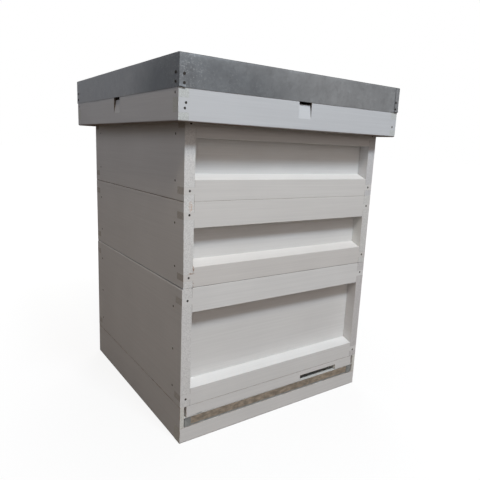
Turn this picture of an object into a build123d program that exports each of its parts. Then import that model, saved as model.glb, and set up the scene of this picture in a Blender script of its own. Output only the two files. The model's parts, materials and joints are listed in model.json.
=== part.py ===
from build123d import *
import os

# A beehive of the square British national pattern: open mesh floor, brood box, queen excluder,
# two supers, crown board and a flat roof under a sheet-steel cover.
#
# Millimetres. The hive stands on z = 0, its front (the bees' side) faces -Y, and the centre of
# the boxes' footprint is at x = y = 0. Every box, floor and roof part is symmetric about both
# upright planes unless its comment says otherwise.

# ------------------------------------------------------------------ driving dimensions

BODY = 460.0                 # outside of floor, boxes and crown board, both ways
HALF = BODY / 2

FLOOR_HEIGHT = 72.2
BROOD_HEIGHT = 225.0
SUPER_HEIGHT = 150.0
EXCLUDER_THICK = 0.6

# Box joinery. Plain boards close the two sides; the front and back walls stand in from the
# outside, between a top rail and a bottom rail that a hand can grip.
SIDE_IN = 210.0              # centre to the inner face of a side board
WALL_OUT = 206.0             # centre to the outer face of a recessed wall
WALL_IN = 186.0              # centre to the inner face of a recessed wall
HOUSING = 5.0                # depth of the groove that takes the wall's end
WALL_DROP = 17.5             # top of a wall below the top of its box
SHOULDER_GAP = 0.3           # between a rail's shoulder and the side board
TOP_RAIL = 45.0              # height of a top rail
LUG_SPACE = 219.0            # centre to the back of the rebate that the frame lugs lie in
TONGUE = 12.0                # height of the tongue that passes through the side board
TOP_TONGUE = 30.2            # bottom of the upper tongue below the top of the box
LOW_TONGUE = 12.0            # bottom of the lower tongue above the bottom of the box
RUNNER = 1.0                 # thickness of the metal runner under the lugs
LUG_DROP = 10.5              # top of a runner below the top of the box
RUNNER_BACK = 205.0          # the runner's base reaches from here
RUNNER_FRONT = 190.0         # to here
RUNNER_WEB = 197.0           # outer face of its upright web

# Wire nails with small heads, punched a little under the painted surface.
NAIL_HEAD_R = 2.1
NAIL_HEAD = 1.0
NAIL_SHANK_R = 1.1
NAIL_LENGTH = 38.0
NAIL_SUNK = 0.3
RAIL_NAIL = 219.0            # centre to the nails through the rails' tongues
WALL_NAIL = 196.5            # centre to the nails into the walls' end grain

# Hanging frames.
FRAME_LENGTH = 356.0         # over the side bars
LUG_LENGTH = 432.0           # over the lugs
LUG_WIDTH = 16.0
LUG_THICK = 10.0
TOP_BAR = 14.0
BAR_WIDTH = 22.0
SIDE_BAR = 9.5
BOTTOM_BAR = 8.0
BOTTOM_BAR_WIDTH = 9.0
BOTTOM_BAR_GAP = 2.0         # centre to a bottom bar's inner face
WAX_THICK = 1.6
FRAME_CLEAR = 0.5            # top bars below the top of their box

# Floor.
RAIL_T = 22.0                # thickness of the floor's rails
FRONT_RAIL = 30.4            # height of the rail under the tray
GROOVE_TOP = 49.4            # ceiling of the groove that takes mesh and tray
LIP = 8.5                    # wood left outside the groove
MESH_THICK = 0.6
MESH_HOLE = 12.5
MESH_PITCH = 16.0
MESH_COLUMNS = 25
MESH_ROWS = 24

BLOCK_LEFT = -216.8
BLOCK_RIGHT = 217.0
BLOCK_DEPTH = 21.5
SLOT_LEFT = 60.0             # the bees' way in, cut in the block's underside
SLOT_RIGHT = 166.0
SLOT_HEIGHT = 11.8

TRAY_LEFT = -220.5
TRAY_RIGHT = 217.5
TRAY_SHEET = 0.8
TRAY_BACK = 198.0
TRAY_WALL = 12.0             # height of the tray's side and back walls
TRAY_TAB = 13.0              # width of the corner tabs folded across its front

# Queen excluder: a slotted sheet.
EXCLUDER_SIZE = 459.0
EXCLUDER_SLOT = 4.3
EXCLUDER_SLOT_LENGTH = 48.0
EXCLUDER_PITCH = 7.6
EXCLUDER_ROW = 56.0
EXCLUDER_COLUMNS = 53
EXCLUDER_ROWS = 7

# Crown board.
CROWN_STRIP = 8.5            # thickness of the edging, above and below the panel
CROWN_STRIP_WIDTH = 20.0
CROWN_PANEL = 9.0
FEED_HOLE = (86.0, 30.0)
FEED_HOLE_AT = 95.0

# Roof, built square and then set down a touch askew and off centre, as a hand leaves it.
ROOF_PLACE = Location((-4.8, -3.2, 0), (0, 0, 0.6))
ROOF_HALF = 258.0            # centre to the outside of the steel cover
COVER_SHEET = 0.8
COVER_SKIRT = 50.2           # height of the turned-down edge
RIM_T = 18.0                 # thickness of the rim boards
RIM_OVERLAP = 23.0           # the rim hangs this far down over the upper super
ROOF_HEIGHT = 100.2
DECK = 9.0
RIM_ROUND = 3.0              # rounding along the rim's bottom edge
FIRST_FINGER = 13.9          # the corner's lowest finger, then even ones
FINGER = 22.0
BATTEN_WIDTH = 28.0
BATTEN_END = 80.0            # the battens stop here, either side of the air vents
CORNER_TAB = 12.0            # the sheet folded round each corner on to front and back
VENT_WIDTH = 30.0
VENT_SHIFT = -2.0            # the front and back vents sit a little off centre
VENT_RAMP = 25.0             # height of the sloping cut below the vent
VENT_RAMP_DEPTH = 4.6
VENT_RAMP_TOP = 45.7         # top of that cut above the rim's bottom edge
VENT_OPEN = 20.0             # height of the slot through the board, mostly behind the skirt

# ------------------------------------------------------------------ heights of the stack

BROOD_LOW = FLOOR_HEIGHT
EXCLUDER_LOW = BROOD_LOW + BROOD_HEIGHT
LOWER_SUPER_LOW = EXCLUDER_LOW + EXCLUDER_THICK
UPPER_SUPER_LOW = LOWER_SUPER_LOW + SUPER_HEIGHT
CROWN_LOW = UPPER_SUPER_LOW + SUPER_HEIGHT
CROWN_TOP = CROWN_LOW + 2 * CROWN_STRIP + CROWN_PANEL
ROOF_LOW = CROWN_LOW - RIM_OVERLAP
ROOF_TOP = ROOF_LOW + ROOF_HEIGHT

# ------------------------------------------------------------------ small helpers

BASE = (Align.CENTER, Align.CENTER, Align.MIN)


def block(x0, x1, y0, y1, z0, z1):
    """A plain box between two corners."""
    centre = Pos((x0 + x1) / 2, (y0 + y1) / 2, (z0 + z1) / 2)
    return centre * Box(x1 - x0, y1 - y0, z1 - z0)


def bar_along_x(outline, x0, x1):
    """A bar with a (y, z) outline, running from x0 to x1."""
    return extrude(Plane.YZ.offset(x0) * Polygon(*outline, align=None), x1 - x0)


def across(shape):
    """The same shape on the other side, left for right."""
    return mirror(shape, about=Plane.YZ)


def behind(shape):
    """The same shape at the other end, front for back."""
    return mirror(shape, about=Plane.XZ)


def all_round(shapes):
    """Each shape in the front left quarter, and its three mirror images."""
    pairs = shapes + [across(shape) for shape in shapes]
    return pairs + [behind(shape) for shape in pairs]


def pierced_sheet(width, depth, thick, hole_size, places):
    """A flat sheet on z = 0, centred, with one rectangular hole at each place."""
    outer = Wire.make_polygon(corners(0, 0, width, depth))
    holes = [Wire.make_polygon(corners(x, y, *hole_size)) for x, y in places]
    return extrude(Face(outer, holes), amount=thick, dir=(0, 0, 1))


def corners(x, y, width, depth):
    """The four corners of a rectangle centred on (x, y)."""
    signs = ((-1, -1), (1, -1), (1, 1), (-1, 1))
    return [(x + i * width / 2, y + j * depth / 2, 0) for i, j in signs]


def grid(columns, rows, pitch_x, pitch_y):
    """The centres of a grid of places, centred on the origin."""
    return [
        ((i - (columns - 1) / 2) * pitch_x, (j - (rows - 1) / 2) * pitch_y)
        for i in range(columns)
        for j in range(rows)
    ]


def save(name, *shapes, place=Location()):
    """Write one named sub-part, made of one solid or of several separate ones."""
    solids = [solid for shape in shapes for solid in (place * shape).solids()]
    whole = solids[0] if len(solids) == 1 else Compound(solids)
    export_step(whole, f"parts/{name}.step")


# ------------------------------------------------------------------ nails


def on_front(x, z, reach=HALF):
    """A place on the front face, looking into the wood."""
    return Plane(origin=(x, -reach, z), x_dir=(1, 0, 0), z_dir=(0, 1, 0)).location


def on_left(y, z, reach=HALF):
    """A place on the left side, looking into the wood."""
    return Plane(origin=(-reach, y, z), x_dir=(0, 1, 0), z_dir=(1, 0, 0)).location


def nail(place):
    """A wire nail with its head punched just under the surface."""
    head = Pos(0, 0, NAIL_SUNK) * Cylinder(NAIL_HEAD_R, NAIL_HEAD, align=BASE)
    shank = Pos(0, 0, NAIL_SUNK) * Cylinder(NAIL_SHANK_R, NAIL_LENGTH - NAIL_SUNK, align=BASE)
    return place * (head + shank)


def nail_hole(place):
    """The hole that the same nail fills, open at the surface above its head."""
    pocket = Cylinder(NAIL_HEAD_R, NAIL_SUNK + NAIL_HEAD, align=BASE)
    return place * (pocket + Cylinder(NAIL_SHANK_R, NAIL_LENGTH, align=BASE))


# ------------------------------------------------------------------ a box: brood box or super


def side_board(height, holes):
    """The left side: a plain board, slotted for the rails' tongues and grooved for the walls."""
    board = block(-HALF, -SIDE_IN, -HALF, HALF, 0, height)
    groove = block(-SIDE_IN - HOUSING, -SIDE_IN, -WALL_OUT, -WALL_IN, 0, height - WALL_DROP)
    slots = [
        block(-HALF, -SIDE_IN, -HALF, -WALL_OUT, low, low + TONGUE)
        for low in (LOW_TONGUE, height - TOP_TONGUE)
    ]
    front_cuts = [groove] + slots
    return board - front_cuts - [behind(cut) for cut in front_cuts] - holes


def wall(height, holes):
    """The front wall, standing in between the side boards."""
    end = SIDE_IN + HOUSING - SHOULDER_GAP
    return block(-end, end, -WALL_OUT, -WALL_IN, 0, height - WALL_DROP) - holes


def top_rail(height, holes):
    """The front top rail: rebated inside for the lugs, with a tongue at each end."""
    end = SIDE_IN - SHOULDER_GAP
    beam = block(-end, end, -HALF, -WALL_OUT, height - TOP_RAIL, height)
    lugs = block(-end, end, -LUG_SPACE, -WALL_OUT, height - WALL_DROP, height)
    low = height - TOP_TONGUE
    tongues = block(-HALF, HALF, -HALF, -WALL_OUT, low, low + TONGUE)
    return beam - lugs + tongues - holes


def bottom_rail(front_height, back_height, holes):
    """The front bottom rail: its top slopes up to the wall, so that rain runs off."""
    outline = [(-HALF, 0), (-WALL_OUT, 0), (-WALL_OUT, back_height), (-HALF, front_height)]
    end = SIDE_IN - SHOULDER_GAP
    beam = bar_along_x(outline, -end, end)
    tongues = block(-HALF, HALF, -HALF, -WALL_OUT, LOW_TONGUE, LOW_TONGUE + TONGUE)
    return beam + tongues - holes


def runner(height):
    """The folded metal strip on the front wall's top edge; its upright web carries the lugs."""
    base = height - WALL_DROP
    end = SIDE_IN - SHOULDER_GAP
    outline = [
        (-RUNNER_BACK, base),
        (-RUNNER_FRONT, base),
        (-RUNNER_FRONT, base + RUNNER),
        (-RUNNER_WEB + RUNNER, base + RUNNER),
        (-RUNNER_WEB + RUNNER, height - LUG_DROP),
        (-RUNNER_WEB, height - LUG_DROP),
        (-RUNNER_WEB, base + RUNNER),
        (-RUNNER_BACK, base + RUNNER),
    ]
    return bar_along_x(outline, -end, end)


def hive_box(name, low, height, rail_front, rail_back, wall_nails, rail_nails):
    """Write the ten sub-parts of a box whose bottom edge is at z = low."""
    places = [on_left(-WALL_NAIL, z) for z in wall_nails]
    places += [on_front(-RAIL_NAIL, z) for z in rail_nails]
    nails = [nail(place) for place in places]
    holes = all_round([nail_hole(place) for place in places])
    stand = Pos(0, 0, low)

    side = side_board(height, holes)
    front_wall = wall(height, holes)
    upper = top_rail(height, holes)
    lower = bottom_rail(rail_front, rail_back, holes)
    save(f"{name}_side_left", side, place=stand)
    save(f"{name}_side_right", across(side), place=stand)
    save(f"{name}_front_wall", front_wall, place=stand)
    save(f"{name}_back_wall", behind(front_wall), place=stand)
    save(f"{name}_front_top_rail", upper, place=stand)
    save(f"{name}_back_top_rail", behind(upper), place=stand)
    save(f"{name}_front_bottom_rail", lower, place=stand)
    save(f"{name}_back_bottom_rail", behind(lower), place=stand)
    save(f"{name}_frame_runners", runner(height), behind(runner(height)), place=stand)
    save(f"{name}_nails", *all_round(nails), place=stand)


# ------------------------------------------------------------------ hanging frames


def frame_wood(depth, shoulder_width, shoulder_height):
    """One frame at x = 0 with the top of its bar at z = 0: top bar, side bars, bottom bars."""
    half = FRAME_LENGTH / 2
    inside = half - SIDE_BAR
    bar = block(-BAR_WIDTH / 2, BAR_WIDTH / 2, -half, half, -TOP_BAR, 0)
    lug = LUG_LENGTH / 2
    lugs = block(-LUG_WIDTH / 2, LUG_WIDTH / 2, -lug, lug, -LUG_THICK, 0)

    wide = shoulder_width / 2
    narrow = BAR_WIDTH / 2
    taper = -TOP_BAR - shoulder_height
    outline = [
        (-wide, -TOP_BAR),
        (-wide, taper),
        (-narrow, taper - (wide - narrow)),
        (-narrow, -depth),
        (narrow, -depth),
        (narrow, taper - (wide - narrow)),
        (wide, taper),
        (wide, -TOP_BAR),
    ]
    face = Plane.XZ.offset(inside) * Polygon(*outline, align=None)
    near_side = extrude(face, SIDE_BAR)
    near = BOTTOM_BAR_GAP
    far = near + BOTTOM_BAR_WIDTH
    bottom = block(near, far, -inside, inside, -depth, -depth + BOTTOM_BAR)
    return [bar + lugs, near_side, behind(near_side), bottom, across(bottom)]


def frame_wax(depth):
    """The sheet of wax that the frame holds, on which the bees build."""
    inside = FRAME_LENGTH / 2 - SIDE_BAR
    return block(-WAX_THICK / 2, WAX_THICK / 2, -inside, inside, -depth + 1, -TOP_BAR)


def frames(name, low, height, depth, count, pitch, lifted, shoulder_width, shoulder_height):
    """Write a box's frames: one that lifts out by itself, and the rest."""
    wood = frame_wood(depth, shoulder_width, shoulder_height)
    wax = frame_wax(depth)
    hang = low + height - FRAME_CLEAR
    places = [Pos((i - (count - 1) / 2) * pitch, 0, hang) for i in range(count)]
    still = places[:lifted] + places[lifted + 1:]
    save(f"{name}_frames", *[place * piece for place in still for piece in wood])
    save(f"{name}_wax_sheets", *[place * wax for place in still])
    save(f"{name}_lifting_frame", *wood, place=places[lifted])
    save(f"{name}_lifting_frame_wax", wax, place=places[lifted])


# ------------------------------------------------------------------ floor


def floor():
    """Rails round a mesh, with a tray in a groove under it and an entrance block above it."""
    inner = HALF - RAIL_T
    groove = HALF - LIP
    rail = block(-HALF, -inner, -HALF, HALF, 0, FLOOR_HEIGHT)
    front_lap = block(-HALF, -inner, -HALF, -inner, 0, FRONT_RAIL)
    tray_groove = block(-groove, -inner, -HALF, inner, FRONT_RAIL, GROOVE_TOP)
    block_pocket = block(-groove, -inner, -HALF, -inner, GROOVE_TOP, FLOOR_HEIGHT)
    side = rail - front_lap - tray_groove - block_pocket
    save("floor_side_left", side)
    save("floor_side_right", across(side))
    save("floor_front_rail", block(-HALF, HALF, -HALF, -inner, 0, FRONT_RAIL))
    save("floor_back_rail", block(-inner, inner, inner, HALF, 0, FLOOR_HEIGHT))

    mesh_half = groove - 0.2
    mesh_front = -HALF + 0.4
    mesh_back = inner - 0.4
    middle = (mesh_front + mesh_back) / 2
    places = grid(MESH_COLUMNS, MESH_ROWS, MESH_PITCH, MESH_PITCH)
    mesh = pierced_sheet(
        2 * mesh_half, mesh_back - mesh_front, MESH_THICK, (MESH_HOLE, MESH_HOLE), places
    )
    save("floor_mesh", mesh, place=Pos(0, middle, GROOVE_TOP - MESH_THICK))


def entrance_block():
    """A loose wooden bar across the front; its slot is not centred, but towards the right."""
    low = GROOVE_TOP + 0.2
    high = FLOOR_HEIGHT - 0.3
    front = -HALF + 0.4
    bar = block(BLOCK_LEFT, BLOCK_RIGHT, front, front + BLOCK_DEPTH, low, high)
    slot = block(SLOT_LEFT, SLOT_RIGHT, front, front + BLOCK_DEPTH, low, low + SLOT_HEIGHT)
    save("entrance_block", bar - slot)


def inspection_tray():
    """A folded sheet-metal drawer that catches what falls through the mesh."""
    low = FRONT_RAIL + 0.2
    high = GROOVE_TOP - MESH_THICK - 0.3
    face = -HALF + TRAY_SHEET
    pan = block(TRAY_LEFT, TRAY_RIGHT, face, TRAY_BACK, low, low + TRAY_WALL)
    hollow = block(
        TRAY_LEFT + TRAY_SHEET,
        TRAY_RIGHT - TRAY_SHEET,
        face + TRAY_SHEET,
        TRAY_BACK - TRAY_SHEET,
        low + TRAY_SHEET,
        low + TRAY_WALL,
    )
    front = block(TRAY_LEFT, TRAY_RIGHT, face, face + TRAY_SHEET, low, high)
    tabs = [
        block(TRAY_LEFT, TRAY_LEFT + TRAY_TAB, -HALF, face, low + 0.8, high - 0.8),
        block(TRAY_RIGHT - TRAY_TAB, TRAY_RIGHT, -HALF, face, low + 0.8, high - 0.8),
    ]
    save("inspection_tray", pan - hollow + front + tabs)


# ------------------------------------------------------------------ excluder and crown board


def queen_excluder():
    """A sheet whose slots let workers through and keep the queen below."""
    places = grid(EXCLUDER_COLUMNS, EXCLUDER_ROWS, EXCLUDER_PITCH, EXCLUDER_ROW)
    slot = (EXCLUDER_SLOT, EXCLUDER_SLOT_LENGTH)
    sheet = pierced_sheet(EXCLUDER_SIZE, EXCLUDER_SIZE, EXCLUDER_THICK, slot, places)
    save("queen_excluder", sheet, place=Pos(0, 0, EXCLUDER_LOW))


def crown_board():
    """A plywood lid with two feed holes, edged above and below to give the bees headroom."""
    panel = block(-HALF, HALF, -HALF, HALF, 0, CROWN_PANEL)
    hole = extrude(SlotOverall(*FEED_HOLE), CROWN_PANEL)
    holes = [Pos(0, y, 0) * hole for y in (-FEED_HOLE_AT, FEED_HOLE_AT)]
    panel_low = CROWN_LOW + CROWN_STRIP
    save("crown_board_panel", panel - holes, place=Pos(0, 0, panel_low))

    inner = HALF - CROWN_STRIP_WIDTH
    left = block(-HALF, -inner, -HALF, HALF, 0, CROWN_STRIP)
    front = block(-inner, inner, -HALF, -inner, 0, CROWN_STRIP)
    ring = [left, across(left), front, behind(front)]
    lower = [Pos(0, 0, CROWN_LOW) * strip for strip in ring]
    upper = [Pos(0, 0, panel_low + CROWN_PANEL) * strip for strip in ring]
    save("crown_board_edging", *lower, *upper)


# ------------------------------------------------------------------ roof

WOOD_HALF = ROOF_HALF - COVER_SHEET
RIM_IN = WOOD_HALF - RIM_T
DECK_LOW = ROOF_TOP - COVER_SHEET - DECK
SKIRT_LOW = ROOF_TOP - COVER_SKIRT

RIM_NAIL = 246.0             # centre to the nails in the rim's corners
FRONT_RIM_NAIL = 20.2        # their height above the rim's bottom edge, front and back
SIDE_RIM_NAIL = 43.0         # the same, left and right
ODD_RIM_NAIL = (-244.2, 28.4)  # one more at the front left corner only
COVER_NAIL = 248.6           # centre to the clout nails through the cover's skirt
FRONT_COVER_NAILS = (56.5, 69.9)  # heights above the rim's bottom edge
SIDE_COVER_NAILS = (58.3, 71.7)
CLOUT_HEAD_R = 2.2
CLOUT_HEAD = 0.7
CLOUT_SHANK_R = 0.8
CLOUT_LENGTH = 17.0


def clout(place):
    """A flat-headed nail whose head lies on the sheet."""
    head = Pos(0, 0, -CLOUT_HEAD) * Cylinder(CLOUT_HEAD_R, CLOUT_HEAD, align=BASE)
    return place * (head + Cylinder(CLOUT_SHANK_R, CLOUT_LENGTH, align=BASE))


def clout_hole(place):
    """The hole that the same nail's shank fills."""
    return place * Cylinder(CLOUT_SHANK_R, CLOUT_LENGTH, align=BASE)


def finger_heights():
    """The rim corners' fingers from the bottom up, as (low, high); side boards have the first."""
    edges = [ROOF_LOW, ROOF_LOW + FIRST_FINGER]
    while edges[-1] + FINGER < DECK_LOW:
        edges.append(edges[-1] + FINGER)
    edges.append(DECK_LOW)
    return list(zip(edges[:-1], edges[1:]))


def vent(shift):
    """What is cut from the middle of the front board: a ramp, and a slot through its top end."""
    x0 = shift - VENT_WIDTH / 2
    x1 = shift + VENT_WIDTH / 2
    top = ROOF_LOW + VENT_RAMP_TOP
    outline = [(-WOOD_HALF, top - VENT_RAMP), (-WOOD_HALF + VENT_RAMP_DEPTH, top), (-WOOD_HALF, top)]
    slot = block(x0, x1, -WOOD_HALF, -RIM_IN, top, top + VENT_OPEN)
    return [bar_along_x(outline, x0, x1), slot]


def rim_envelope():
    """The rim's outside, with its bottom edge rounded all the way round."""
    solid = block(-WOOD_HALF, WOOD_HALF, -WOOD_HALF, WOOD_HALF, ROOF_LOW, DECK_LOW)
    return fillet(solid.edges().group_by(Axis.Z)[0], RIM_ROUND)


def roof():
    """A rim of four finger-jointed boards, a plywood deck, battens, and a folded steel cover."""
    tab_face = ROOF_HALF + COVER_SHEET
    rim_places = [on_front(-RIM_NAIL, ROOF_LOW + FRONT_RIM_NAIL, WOOD_HALF)]
    rim_places += [on_left(-RIM_NAIL, ROOF_LOW + SIDE_RIM_NAIL, WOOD_HALF)]
    odd_place = on_front(ODD_RIM_NAIL[0], ROOF_LOW + ODD_RIM_NAIL[1], WOOD_HALF)
    cover_places = [on_front(-COVER_NAIL, ROOF_LOW + z, tab_face) for z in FRONT_COVER_NAILS]
    cover_places += [on_left(-COVER_NAIL, ROOF_LOW + z, ROOF_HALF) for z in SIDE_COVER_NAILS]

    clout_holes = all_round([clout_hole(place) for place in cover_places])
    rim_holes = all_round([nail_hole(place) for place in rim_places]) + [nail_hole(odd_place)]
    holes = clout_holes + rim_holes
    nails = all_round([nail(place) for place in rim_places]) + [nail(odd_place)]
    nails += all_round([clout(place) for place in cover_places])
    save("roof_nails", *nails, place=ROOF_PLACE)

    side_fingers = finger_heights()[0::2]
    front_fingers = finger_heights()[1::2]
    front = block(-RIM_IN, RIM_IN, -WOOD_HALF, -RIM_IN, ROOF_LOW, DECK_LOW)
    for low, high in front_fingers:
        front += block(-WOOD_HALF, WOOD_HALF, -WOOD_HALF, -RIM_IN, low, high)
    left = block(-WOOD_HALF, -RIM_IN, -RIM_IN, RIM_IN, ROOF_LOW, DECK_LOW)
    for low, high in side_fingers:
        left += block(-WOOD_HALF, -RIM_IN, -WOOD_HALF, WOOD_HALF, low, high)
    front = (front - vent(VENT_SHIFT)) & rim_envelope()
    left_vent = [Rot(0, 0, -90) * cut for cut in vent(0)]
    left = (left - left_vent) & rim_envelope()

    save("roof_front_board", front - holes, place=ROOF_PLACE)
    save("roof_back_board", behind(front) - holes, place=ROOF_PLACE)
    save("roof_left_board", left - holes, place=ROOF_PLACE)
    save("roof_right_board", across(left) - holes, place=ROOF_PLACE)

    deck = block(-WOOD_HALF, WOOD_HALF, -WOOD_HALF, WOOD_HALF, DECK_LOW, DECK_LOW + DECK)
    save("roof_deck", deck, place=ROOF_PLACE)
    batten = block(-RIM_IN, -RIM_IN + BATTEN_WIDTH, -RIM_IN, -BATTEN_END, CROWN_TOP, DECK_LOW)
    save("roof_battens", *all_round([batten]), place=ROOF_PLACE)

    outside = block(-ROOF_HALF, ROOF_HALF, -ROOF_HALF, ROOF_HALF, SKIRT_LOW, ROOF_TOP)
    inside = block(-WOOD_HALF, WOOD_HALF, -WOOD_HALF, WOOD_HALF, SKIRT_LOW, DECK_LOW + DECK)
    tab = block(
        -ROOF_HALF,
        -ROOF_HALF + CORNER_TAB,
        -tab_face,
        -ROOF_HALF,
        SKIRT_LOW + 1.0,
        ROOF_TOP - 1.0,
    )
    cover = outside - inside + all_round([tab]) - clout_holes
    save("roof_cover", cover, place=ROOF_PLACE)


# ------------------------------------------------------------------ the whole hive

os.makedirs("parts", exist_ok=True)

floor()
entrance_block()
inspection_tray()

hive_box(
    "brood_box",
    BROOD_LOW,
    BROOD_HEIGHT,
    rail_front=34.0,
    rail_back=41.5,
    wall_nails=(30.4, 103.3, BROOD_HEIGHT - 40.5),
    rail_nails=(14.8, BROOD_HEIGHT - 22.5),
)
frames(
    "brood",
    BROOD_LOW,
    BROOD_HEIGHT,
    depth=216.0,
    count=11,
    pitch=37.0,
    lifted=5,
    shoulder_width=35.0,
    shoulder_height=70.0,
)
queen_excluder()

for super_name, super_low in (("lower_super", LOWER_SUPER_LOW), ("upper_super", UPPER_SUPER_LOW)):
    hive_box(
        super_name,
        super_low,
        SUPER_HEIGHT,
        rail_front=36.0,
        rail_back=45.5,
        wall_nails=(33.0, SUPER_HEIGHT - 39.5),
        rail_nails=(18.0, SUPER_HEIGHT - 22.5),
    )
    frames(
        super_name,
        super_low,
        SUPER_HEIGHT,
        depth=140.0,
        count=10,
        pitch=41.5,
        lifted=4,
        shoulder_width=40.0,
        shoulder_height=100.0,
    )

crown_board()
roof()
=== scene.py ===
"""Looks for the beehive: painted boards, galvanised roof, tray, frames and wax on the CAD frame."""

import json
import math
from functools import partial

import bmesh
import bpy
from mathutils import Matrix, Vector, noise

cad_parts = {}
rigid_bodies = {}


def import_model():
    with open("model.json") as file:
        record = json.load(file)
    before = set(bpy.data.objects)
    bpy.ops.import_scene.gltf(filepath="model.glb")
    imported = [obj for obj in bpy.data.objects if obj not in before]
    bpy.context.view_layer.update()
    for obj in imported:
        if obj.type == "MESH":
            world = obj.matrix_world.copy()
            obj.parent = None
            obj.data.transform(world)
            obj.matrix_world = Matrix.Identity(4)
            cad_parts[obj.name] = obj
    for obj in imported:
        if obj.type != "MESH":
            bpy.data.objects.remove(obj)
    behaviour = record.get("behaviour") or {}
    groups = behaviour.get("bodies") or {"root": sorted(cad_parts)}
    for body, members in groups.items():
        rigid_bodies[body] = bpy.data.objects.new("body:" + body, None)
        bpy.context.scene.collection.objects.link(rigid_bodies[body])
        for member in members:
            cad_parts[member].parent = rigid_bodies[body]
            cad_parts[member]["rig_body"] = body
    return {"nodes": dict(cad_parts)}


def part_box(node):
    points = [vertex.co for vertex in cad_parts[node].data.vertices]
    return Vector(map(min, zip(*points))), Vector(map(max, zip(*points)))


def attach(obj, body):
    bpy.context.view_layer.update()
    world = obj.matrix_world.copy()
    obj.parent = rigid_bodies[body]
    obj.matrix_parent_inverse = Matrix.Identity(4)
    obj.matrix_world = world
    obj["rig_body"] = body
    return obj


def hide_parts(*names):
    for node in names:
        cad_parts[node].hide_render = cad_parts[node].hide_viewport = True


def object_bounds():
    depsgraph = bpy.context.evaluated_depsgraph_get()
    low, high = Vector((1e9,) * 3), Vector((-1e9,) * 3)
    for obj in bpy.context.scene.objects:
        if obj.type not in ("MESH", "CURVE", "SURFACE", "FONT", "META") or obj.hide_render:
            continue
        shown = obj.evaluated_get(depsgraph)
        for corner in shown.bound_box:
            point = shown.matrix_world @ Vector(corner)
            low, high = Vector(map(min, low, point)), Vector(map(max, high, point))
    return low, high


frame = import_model()
CAD_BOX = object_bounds()

MM = 0.001
BOXES = ("brood_box", "lower_super", "upper_super")
FRAME_SETS = ("brood", "lower_super", "upper_super")
GRAIN_X = (1, 0, 0)
GRAIN_Y = (0, 1, 0)

# Finishes, as linear colours
PAINT = (0.80, 0.80, 0.79)
# painted shade, with some grime, in narrow gaps and joints
CREVICE_SHADE_AND_GRIME = (0.085, 0.062, 0.045)
BARE_WOOD = (0.36, 0.235, 0.155)
PEACH_STAIN = (0.66, 0.47, 0.35)
RUST_STAIN = (0.30, 0.15, 0.08)
GREY_SCUFF = (0.20, 0.235, 0.235)
# faces turned down: brown like bare wood, darkened as painted shade
UNDERSIDE_BROWN_SHADE = (0.17, 0.115, 0.08)
OLIVE_CAST = (0.99, 1.0, 0.95)
TENON_CAST = (0.85, 0.83, 0.80)
PINE_LIGHT = (0.72, 0.52, 0.30)
PINE_DARK = (0.50, 0.30, 0.14)
PLY_LIGHT = (0.66, 0.47, 0.28)
PLY_DARK = (0.49, 0.31, 0.16)
LAYER_LIGHT = (0.58, 0.40, 0.22)
LAYER_DARK = (0.27, 0.16, 0.085)
ZINC_DARK = (0.41, 0.43, 0.45)
ZINC_LIGHT = (0.62, 0.65, 0.67)
# scuffs, lightened into painted glints
ZINC_SCUFF_AND_GLINT = (0.80, 0.84, 0.85)
# painted shade along the cover's folds and the edges of its tabs
ZINC_FOLD_SHADE = (0.09, 0.095, 0.10)
# painted shade in the cover's reflection near its front left corner
ZINC_REFLECTION_SHADE = (0.56, 0.58, 0.60)
PLAIN_ZINC_DARK = (0.40, 0.41, 0.42)
PLAIN_ZINC_LIGHT = (0.60, 0.61, 0.62)
# pale and barely metallic: the floor mesh's bright sheen is painted into its colour
MESH_ZINC_SHEEN_DARK = (0.72, 0.73, 0.71)
MESH_ZINC_SHEEN_LIGHT = (0.82, 0.83, 0.81)
# raw wood in a saw cut, darkened further as painted shade
SAW_CUT_IN_SHADE = (0.075, 0.052, 0.038)
# brown across the tray's front: painted reflection of a brown floor
TRAY_REFLECTED_BROWN = (0.38, 0.325, 0.26)
TRAY_REFLECTED_LIGHT = (0.72, 0.62, 0.50)
TRAY_GREY = (0.42, 0.45, 0.45)
TRAY_PALE = (0.55, 0.59, 0.59)
# painted shade in the tray's narrow gaps
TRAY_CREVICE_SHADE = (0.05, 0.045, 0.04)
# near black: steel nail heads with the shade of their holes painted in
NAIL_STEEL_IN_SHADE = (0.03, 0.027, 0.025)
NAIL_GRIME = (0.10, 0.09, 0.08)
WAX_LIGHT = (0.80, 0.50, 0.13)
WAX_DARK = (0.55, 0.28, 0.05)
WAX_CELL_WALL = (0.88, 0.64, 0.26)

SAME_PLACE = 0.01 * MM              # nearer than this is the same place
SAME_CORNER = 0.001 * MM            # split corners nearer than this are joined
FLAT = math.radians(1)              # faces that meet at less than this are joined
OUTER_EDGE = math.radians(35)       # an edge that turns out by more than this can be eased
HOLE_RIM = math.radians(60)         # a nail hole's rim turns by more than this
SHARP_FOLD = math.radians(40)       # a fold that turns by more than this stays sharp
SHORTEST_ARRIS = 4 * MM             # shorter edges are the rims of nail holes
LONG_EDGE = 60 * MM                 # the cover's top edges are longer

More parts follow.
